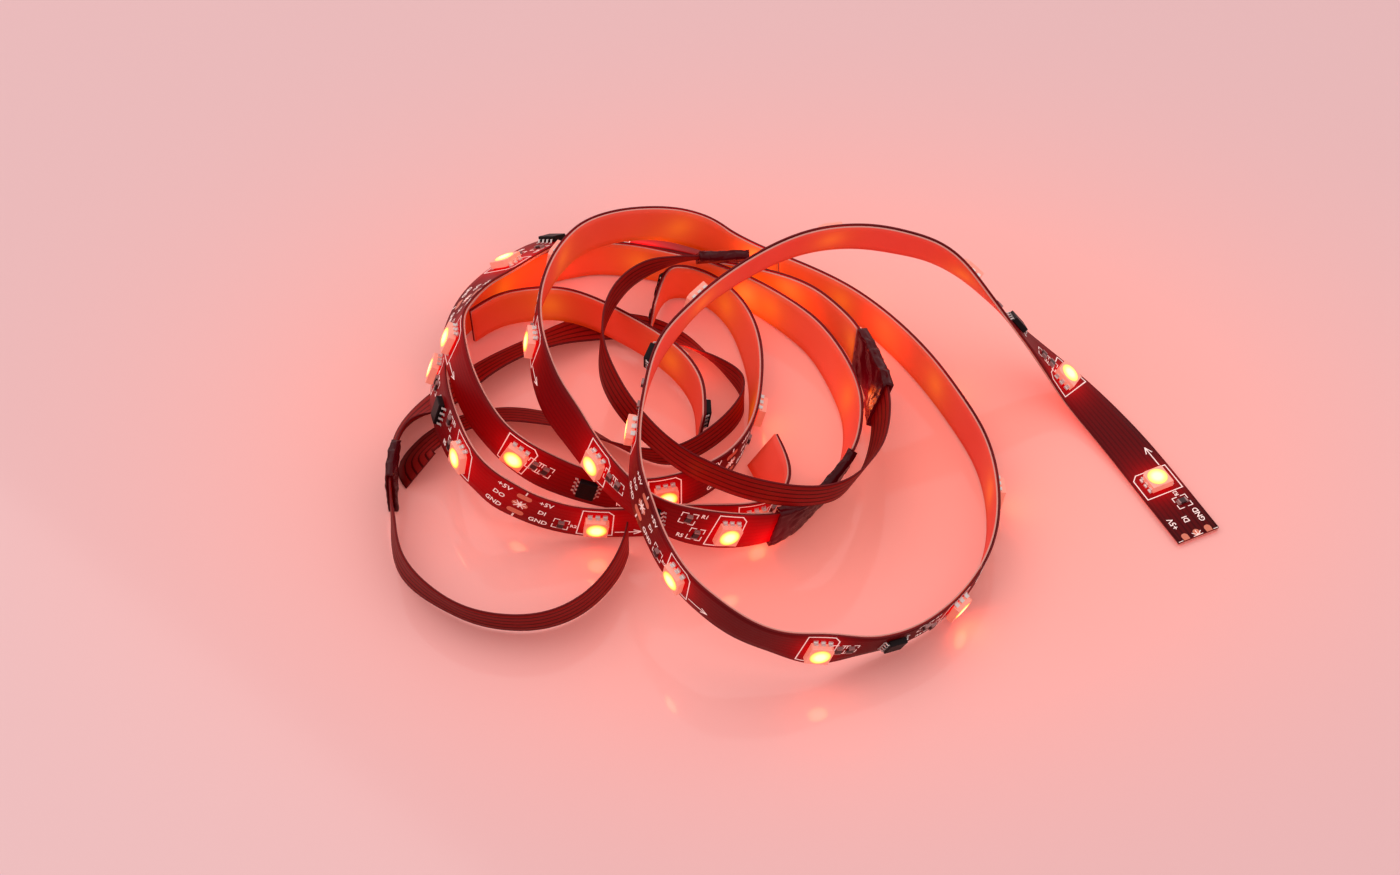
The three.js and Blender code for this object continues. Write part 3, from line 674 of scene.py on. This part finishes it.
for name, route, start, end in LEADS:
    lead = ribbon(f"{name}_fine", route, start, end, STRIP_WIDTH,
                  BOARD_THICKNESS / 2, BOARD_THICKNESS, [LEAD, BOARD_EDGE])
    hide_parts(name)


# Heat-shrink sleeves
SLEEVE_STEP = 0.7
SLEEVE_SEGMENTS = 12
RUCK_HEIGHT = 0.8
EDGE_UNEVENNESS = 0.09


def wrinkle(distance, depth, side, across, front):
    """The film's ruck on both faces, and its uneven edges."""
    where = Vector((distance * 0.35, side * 0.8, depth * 2.0))
    ruck = noise.noise(where) * 0.45 + noise.noise(where * 2.7) * 0.2
    edge = noise.noise(Vector((distance * 0.55, math.copysign(7.0, side), 0.0)))
    return front * ruck * math.copysign(RUCK_HEIGHT, depth) + across * edge * EDGE_UNEVENNESS * side


def sleeve_section():
    half = BOARD_THICKNESS / 2 + SLEEVE_CLEARANCE + SLEEVE_WALL
    edge = STRIP_WIDTH / 2 + SLEEVE_CLEARANCE + SLEEVE_WALL
    sides = [edge * (1 - 2 * k / SLEEVE_SEGMENTS) for k in range(SLEEVE_SEGMENTS + 1)]
    return [(half, side) for side in sides] + [(-half, -side) for side in sides]


for name, route, start, end in SLEEVES:
    bm = swept_band(route, start, end, sleeve_section(), step=SLEEVE_STEP, closed=True, shift=wrinkle)
    bmesh.ops.recalc_face_normals(bm, faces=bm.faces)
    sleeve = finish_mesh(f"{name}_film", bm, [SLEEVE])
    thicken(sleeve, SLEEVE_WALL)
    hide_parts(name)


# Lamps
def box_into(bm, low, high, material_index=0):
    size = [b - a for a, b in zip(low, high)]
    middle = [(a + b) / 2 for a, b in zip(low, high)]
    place = Matrix.Translation(middle) @ Matrix.Diagonal((*size, 1.0))
    made = bmesh.ops.create_cube(bm, size=1.0, matrix=place)
    for face in {f for v in made["verts"] for f in v.link_faces}:
        face.material_index = material_index
    return made["verts"]


def led_shape():
    """One lamp, lying on z = 0: package with a chamfered corner, recessed lit lens, six pins."""
    bm = bmesh.new()
    core = bm.verts.layers.float.new("core")
    half = LED_SIDE / 2
    cut = half - LED_CHAMFER
    outline = [(-half, -half), (half, -half), (half, cut), (cut, half), (-half, half)]
    floor_face = bm.faces.new([bm.verts.new((x, y, 0.0)) for x, y in outline])
    grown = bmesh.ops.extrude_face_region(bm, geom=[floor_face])["geom"]
    top = [g for g in grown if isinstance(g, bmesh.types.BMFace)][0]
    bmesh.ops.translate(bm, vec=(0, 0, LED_HEIGHT), verts=top.verts[:])
    bmesh.ops.reverse_faces(bm, faces=[floor_face])
    bmesh.ops.bevel(bm, geom=top.edges[:], offset=LED_ROUND, offset_type="OFFSET", segments=2, profile=0.5,
                    affect="EDGES", clamp_overlap=True, material=-1)
    # The lit lens, a shallow dome in the package's face
    dome = bmesh.ops.create_circle(bm, cap_ends=True, segments=24, radius=LENS_RADIUS,
                                   matrix=Matrix.Translation((0, 0, LED_HEIGHT + LENS_BASE)))["verts"]
    face = dome[0].link_faces[0]
    for inset, rise in LENS_RINGS:
        bmesh.ops.inset_individual(bm, faces=[face], thickness=inset, depth=rise, use_even_offset=True)
    above_package = LED_HEIGHT + LENS_BASE / 2
    for face in bm.faces:
        centre = face.calc_center_median()
        if centre.z > above_package and centre.xy.length < LENS_RADIUS:
            face.material_index = 1
            face.smooth = True
    for vert in bm.verts:
        reach = vert.co.xy.length / LENS_RADIUS
        vert[core] = max(0.0, 1.0 - reach) if vert.co.z > above_package else 0.0
    for side in (-1, 1):
        pin = sorted((side * half, side * (half + PIN_REACH)))
        solder = sorted((side * half, side * (half + PIN_REACH + PIN_SOLDER_REACH)))
        for x in (-PIN_PITCH, 0.0, PIN_PITCH):
            box_into(bm, (x - PIN_WIDTH / 2, pin[0], 0.0), (x + PIN_WIDTH / 2, pin[1], PIN_HEIGHT), 2)
            box_into(bm, (x - PIN_SOLDER_WIDTH / 2, solder[0], -SEAT_GAP),
                     (x + PIN_SOLDER_WIDTH / 2, solder[1], 0.02), 2)
    return bm


def placed_copy(template, matrix):
    bm = bmesh.new()
    bm.from_mesh(template)
    bmesh.ops.transform(bm, matrix=matrix, verts=bm.verts)
    return bm


def template_mesh(name, bm):
    mesh = bpy.data.meshes.new(name)
    bm.to_mesh(mesh)
    bm.free()
    return mesh


def join_into(bm, part):
    """Adds one bmesh to another and frees it."""
    scratch = template_mesh("scratch", part)
    bm.from_mesh(scratch)
    bpy.data.meshes.remove(scratch)


led_template = template_mesh("lamp_template", led_shape())
for number, seat in enumerate(LED_SEATS, start=1):
    shape = placed_copy(led_template, seat)
    lamp = finish_mesh(f"lamp_{number:02d}", shape, [PACKAGE, LENS, TIN], glows=False)
    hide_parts(f"led_{number:02d}")
bpy.data.meshes.remove(led_template)


# Driver chips and resistors
def chip_shape():
    """One driver chip, lying on z = 0: rounded body with a mark at pin one, eight legs."""
    bm = bmesh.new()
    body = box_into(bm, (-CHIP_LENGTH / 2, -CHIP_WIDTH / 2, CHIP_STANDOFF),
                    (CHIP_LENGTH / 2, CHIP_WIDTH / 2, CHIP_HEIGHT))
    edges = list({e for v in body for e in v.link_edges})
    bmesh.ops.bevel(bm, geom=edges, offset=CHIP_ROUND, offset_type="OFFSET", segments=2, profile=0.5,
                    affect="EDGES", clamp_overlap=True, material=-1)
    dimple = (-CHIP_LENGTH / 2 + DIMPLE_INSET, CHIP_WIDTH / 2 - DIMPLE_INSET, CHIP_HEIGHT)
    bmesh.ops.create_cone(bm, cap_ends=True, segments=12, radius1=DIMPLE_RADIUS, radius2=DIMPLE_RADIUS,
                          depth=0.03, matrix=Matrix.Translation(dimple))
    for end in (-1, 1):
        for k in range(4):
            gull_wing(bm, end, (k - 1.5) * LEG_PITCH)
    return bm


def gull_wing(bm, end, y):
    """One leg: a flat strip of metal led out of the body, down, and along the board."""
    out = CHIP_LENGTH / 2
    foot = LEG_THICKNESS
    path = [(out - 0.1, 0.85), (out + 0.3, 0.85), (out + 0.55, foot), (out + 1.1, foot)]
    row = [bm.verts.new((end * path[0][0], y + side * LEG_WIDTH / 2, path[0][1])) for side in (-1, 1)]
    edge = bm.edges.new(row)
    faces = []
    for (x0, z0), (x1, z1) in zip(path, path[1:]):
        grown = bmesh.ops.extrude_edge_only(bm, edges=[edge])["geom"]
        verts = [g for g in grown if isinstance(g, bmesh.types.BMVert)]
        bmesh.ops.translate(bm, vec=(end * (x1 - x0), 0, z1 - z0), verts=verts)
        faces += [g for g in grown if isinstance(g, bmesh.types.BMFace)]
        edges = [g for g in grown if isinstance(g, bmesh.types.BMEdge)]
        edge = next(e for e in edges if all(v in verts for v in e.verts))
    for face in faces:
        face.material_index = 1
    bmesh.ops.solidify(bm, geom=faces, thickness=LEG_THICKNESS)


def resistor_shape():
    """One small part, lying on z = 0: ceramic body, tinned ends, a low fillet of solder at each."""
    bm = bmesh.new()
    half = RESISTOR_LENGTH / 2
    outer = RESISTOR_WIDTH / 2
    inner = outer - TERMINAL_WIDTH
    box_into(bm, (-half, -inner, 0.0), (half, inner, RESISTOR_HEIGHT), 0)
    for side in (-1, 1):
        end = sorted((side * outer, side * inner))
        box_into(bm, (-half - TERMINAL_PROUD, end[0], 0.0),
                 (half + TERMINAL_PROUD, end[1], RESISTOR_HEIGHT + TERMINAL_PROUD), 1)
        fillet = sorted((side * outer, side * (outer + FILLET_REACH)))
        box_into(bm, (-half, fillet[0], 0.0), (half, fillet[1], FILLET_HEIGHT), 1)
    return bm


def gather(name, template, matrices, materials):
    """One piece of many copies."""
    bm = bmesh.new()
    for matrix in matrices:
        join_into(bm, placed_copy(template, matrix))
    bmesh.ops.recalc_face_normals(bm, faces=bm.faces)
    piece = finish_mesh(name, bm, materials, glows=False)


chip_template = template_mesh("chip_template", chip_shape())
resistor_template = template_mesh("resistor_template", resistor_shape())
for strip in STRIPS:
    chips = [strip.route.seat(spot) for spot in strip_places(strip, CHIP_PLACE, CHIP_LENGTH)]
    resistors = [strip.route.seat(spot, across) for place, across in RESISTORS
                 for spot in strip_places(strip, place, RESISTOR_LENGTH)]
    if chips:
        gather(f"{strip.name}_chips", chip_template, chips, [EPOXY, TIN])
    if resistors:
        gather(f"{strip.name}_resistors", resistor_template, resistors, [CERAMIC, SOLDER])
bpy.data.meshes.remove(chip_template)
bpy.data.meshes.remove(resistor_template)


# White marks and copper pads, raised a hair above the board
INK_HEIGHT = 0.03
STROKE = 0.22
FINE_STROKE = 0.18
TICK_STROKE = 0.14
# A bar of ink is no longer than this, so that it follows a bend
BAR_LENGTH = 1.2
BRACKET_REACH = 1.6
BRACKET_ROOM = 1.8
FRAME_ROOM = 4.0
ARROW_ROOM = (20.5, 27.0)
# Words beside the pads: middle from the cut, room towards the cut and away from it
WORD_PLACE = 5.0
WORD_OUTWARD = 2.5
WORD_INWARD = 1.8
PAD_ROW = 2.8
PAD_RADIUS = 0.75
PAD_STRETCH = 1.05
PAD_DEPTH = 0.03
# Letters: text and height
LABEL_SIZES = (
    ("+5V", 1.9),
    ("DI", 1.8),
    ("DO", 1.8),
    ("GND", 1.8),
    ("R1", 1.5),
    ("R2", 1.3),
    ("R5", 1.5),
)
RESISTOR_LABELS = (
    ("R2", FIRST_RESISTOR + 2.65, -2.0),
    ("R1", CHIP_RESISTOR + 3.1, 3.3),
    ("R5", LAST_RESISTOR - 3.1, -3.3),
)


def stroke_into(bm, points, width=STROKE, closed=False):
    """Thin closed bars along a line of (along, across) points."""
    pairs = list(zip(points, points[1:])) + ([(points[-1], points[0])] if closed else [])
    for (x0, y0), (x1, y1) in pairs:
        length = math.hypot(x1 - x0, y1 - y0)
        angle = math.atan2(y1 - y0, x1 - x0)
        bars = max(1, math.ceil(length / BAR_LENGTH))
        for k in range(bars):
            f = (k + 0.5) / bars
            middle = Matrix.Translation((x0 + (x1 - x0) * f, y0 + (y1 - y0) * f, INK_HEIGHT / 2))
            size = Matrix.Diagonal((length / bars + width * 0.9, width, INK_HEIGHT, 1.0))
            bmesh.ops.create_cube(bm, size=1.0, matrix=middle @ Matrix.Rotation(angle, 4, "Z") @ size)


def label_mesh(text, size):
    """A word as a mesh, centred on zero."""
    curve = bpy.data.curves.new("label", "FONT")
    curve.body = text
    curve.size = size
    curve.align_x = "CENTER"
    curve.align_y = "CENTER"
    curve.resolution_u = 2
    curve.extrude = INK_HEIGHT / 2
    curve.offset = 0.02
    holder = bpy.data.objects.new("label", curve)
    bpy.context.scene.collection.objects.link(holder)
    bpy.context.view_layer.update()
    mesh = bpy.data.meshes.new_from_object(holder.evaluated_get(bpy.context.evaluated_depsgraph_get()))
    bpy.data.objects.remove(holder)
    bpy.data.curves.remove(curve)
    return mesh


LABELS = {text: label_mesh(text, size) for text, size in LABEL_SIZES}


def label_into(bm, text, x, y):
    join_into(bm, placed_copy(LABELS[text], Matrix.Translation((x, y, INK_HEIGHT / 2))))


def led_outline(x):
    """A frame round a lamp, with one corner cut."""
    return [(x - 3.5, -4.3), (x + 3.5, -4.3), (x + 3.5, 3.1), (x + 2.3, 4.3), (x - 3.5, 4.3)]


def bracket(bm, x, y):
    """Four white corners round a small part."""
    for side in (-BRACKET_REACH, BRACKET_REACH):
        for rise in (-BRACKET_REACH, BRACKET_REACH):
            corner = (x + side, y + rise)
            stroke_into(bm, [(x + side * 0.3, y + rise), corner, (x + side, y + rise * 0.3)], FINE_STROKE)


def flow_arrow(bm):
    """The arrow that shows which way the data runs."""
    y = -3.2
    stroke_into(bm, [(20.8, y), (26.0, y)])
    stroke_into(bm, [(24.6, y + 0.7), (26.2, y), (24.6, y - 0.7)])


def cut_mark(bm, x, side):
    """Half of the star and of the two ticks that mark a cut line, on one side of it."""
    near = x + 0.1 * side
    for first, last in ((4.8, 3.8), (-4.8, -3.8), (-1.1, 1.1)):
        stroke_into(bm, [(near, first), (near, last)], TICK_STROKE)
    for rise in (-1.0, 0.0, 1.0):
        stroke_into(bm, [(near, 0.0), (x + (1.4 - 0.4 * abs(rise)) * side, rise)], FINE_STROKE)


def unit_marks(low, high):
    """The marks of one cut unit that lie between two distances from its pads."""
    bm = bmesh.new()

    def inside(first, last):
        return low <= first and last <= high

    for x in LED_PLACES:
        if inside(x - FRAME_ROOM, x + FRAME_ROOM):
            stroke_into(bm, led_outline(x), closed=True)
    for x, y in RESISTORS:
        if inside(x - BRACKET_ROOM, x + BRACKET_ROOM):
            bracket(bm, x, y)
    if inside(*ARROW_ROOM):
        flow_arrow(bm)
    for cut, inward, data_word in ((0.0, 1, "DI"), (UNIT, -1, "DO")):
        x = cut + WORD_PLACE * inward
        if inside(*sorted((x - WORD_OUTWARD * inward, x + WORD_INWARD * inward))):
            for text, y in (("+5V", 3.2), (data_word, 0.0), ("GND", -3.2)):
                label_into(bm, text, x, y)
    for text, x, y in RESISTOR_LABELS:
        if inside(x - 1, x + 1):
            label_into(bm, text, x, y)
    for cut, inward in ((0.0, 1), (UNIT, -1)):
        if inside(*sorted((cut, cut + 1.5 * inward))):
            cut_mark(bm, cut, inward)
    return bm


def unit_pads(low, high):
    """Three long copper pads across each cut line."""
    bm = bmesh.new()
    for x in (0.0, UNIT):
        if not (low <= x + 1e-6 and x - 1e-6 <= high):
            continue
        for y in (-PAD_ROW, 0.0, PAD_ROW):
            place = Matrix.Translation((x, y, 0.004))
            made = bmesh.ops.create_cone(bm, cap_ends=True, segments=20, radius1=PAD_RADIUS,
                                         radius2=PAD_RADIUS, depth=PAD_DEPTH, matrix=place)
            for vert in made["verts"]:
                stretched = vert.co.x + math.copysign(PAD_STRETCH, vert.co.x - x)
                vert.co.x = min(max(stretched, low), high)
    return bm


def wrapped(bm, route, zero):
    """Bends marks from (along, across, height) onto the strip's front."""
    for vert in bm.verts:
        x, y, z = vert.co
        point, _, across, front = route.at(zero + x)
        vert.co = point + across * y + front * (BOARD_THICKNESS / 2 + z)
    return bm


def marks_for(strip, maker, name, material):
    """One piece of what maker draws on every unit of a strip."""
    whole = bmesh.new()
    zero = strip.pads + math.floor((strip.start - strip.pads) / UNIT) * UNIT
    while zero < strip.end:
        low = max(strip.start + strip.sleeved_start - zero, 0.0)
        high = min(strip.end - strip.sleeved_end - zero, UNIT)
        join_into(whole, wrapped(maker(low, high), strip.route, zero))
        zero += UNIT
    piece = finish_mesh(f"{strip.name}_{name}", whole, [material], glows=False)


for strip in STRIPS:
    marks_for(strip, unit_marks, "marks", INK)
    marks_for(strip, unit_pads, "pads", COPPER)
for mesh in LABELS.values():
    bpy.data.meshes.remove(mesh)


# Floor, light and camera

# The pool of red light on the table, in metres from the middle along x and y
POOL_REACH = (0.105, 0.078)
POOL_FALL = -0.9
TABLE_SIZE = 4.0
# The table lies this far under the object, in metres
TABLE_GAP = 0.00005


def floor_material():
    """Pink gloss, redder under the lamps, with a faint glow there that only the camera sees."""
    material, tree, shader = new_material("pink_gloss_table")
    coordinates = node(tree, "ShaderNodeTexCoord")
    split = node(tree, "ShaderNodeSeparateXYZ")
    tree.links.new(coordinates.outputs["Object"], split.inputs[0])
    shares = [math_node(tree, "DIVIDE", split.outputs[i], reach) for i, reach in enumerate(POOL_REACH)]
    squares = [math_node(tree, "POWER", share, 2.0) for share in shares]
    distance = math_node(tree, "MULTIPLY", math_node(tree, "ADD", *squares), POOL_FALL)
    falloff = math_node(tree, "EXPONENT", distance)
    colour = mix_colour(tree, falloff, (0.79, 0.495, 0.50), (1.0, 0.35, 0.28))
    tree.links.new(colour, shader.inputs["Base Color"])
    seen = node(tree, "ShaderNodeLightPath").outputs["Is Camera Ray"]
    glow = math_node(tree, "MULTIPLY", math_node(tree, "MULTIPLY", seen, falloff), 0.26)
    tree.links.new(glow, shader.inputs["Emission Strength"])
    set_input(shader, "Emission Color", (1.0, 0.20, 0.15, 1.0))
    set_input(shader, "Roughness", 0.08)
    set_input(shader, "Specular IOR Level", 0.4)
    return material


bpy.ops.mesh.primitive_plane_add(size=TABLE_SIZE, location=(0, 0, -TABLE_GAP))
table = bpy.context.object
table.name = "table_top"
table.data.materials.append(floor_material())

world = bpy.data.worlds.new("studio")
bpy.context.scene.world = world
world.use_nodes = True
background = world.node_tree.nodes["Background"]
set_input(background, "Color", (1.0, 0.93, 0.93, 1.0))
set_input(background, "Strength", 0.78)


def area_light(name, place, size, power, colour):
    """A square soft light that faces the middle of the table."""
    data = bpy.data.lights.new(name, "AREA")
    data.size = size
    data.energy = power
    data.color = colour
    lamp = bpy.data.objects.new(name, data)
    lamp.location = place
    lamp.rotation_euler = (-Vector(place)).to_track_quat("-Z", "Y").to_euler()
    bpy.context.scene.collection.objects.link(lamp)


area_light("key", place=(-0.6, 0.3, 1.1), size=1.2, power=4.5, colour=(1.0, 0.96, 0.95))
area_light("fill", place=(0.8, -0.5, 0.9), size=1.2, power=2.0, colour=(1.0, 0.93, 0.95))

# The photo's view: a camera 690 mm away, with its focal length in the photo's pixels
CAMERA_DISTANCE = 690.0
CAMERA_ELEVATION = math.radians(47.0)
AIM = Vector((0.0, 0.0, 12.0))
FOCAL_PIXELS = 3265.0
PHOTO_WIDTH = 1400.0
SENSOR = 36.0

camera_data = bpy.data.cameras.new("camera")
camera_data.sensor_width = SENSOR
camera_data.lens = SENSOR * FOCAL_PIXELS / PHOTO_WIDTH
camera = bpy.data.objects.new("camera", camera_data)
back = Vector((0, -math.cos(CAMERA_ELEVATION), math.sin(CAMERA_ELEVATION)))
camera.location = (AIM + PLACE + back * CAMERA_DISTANCE) * MM
camera.rotation_euler = (math.pi / 2 - CAMERA_ELEVATION, 0, 0)
bpy.context.scene.collection.objects.link(camera)
bpy.context.scene.camera = camera

bpy.context.scene.view_settings.view_transform = "Standard"
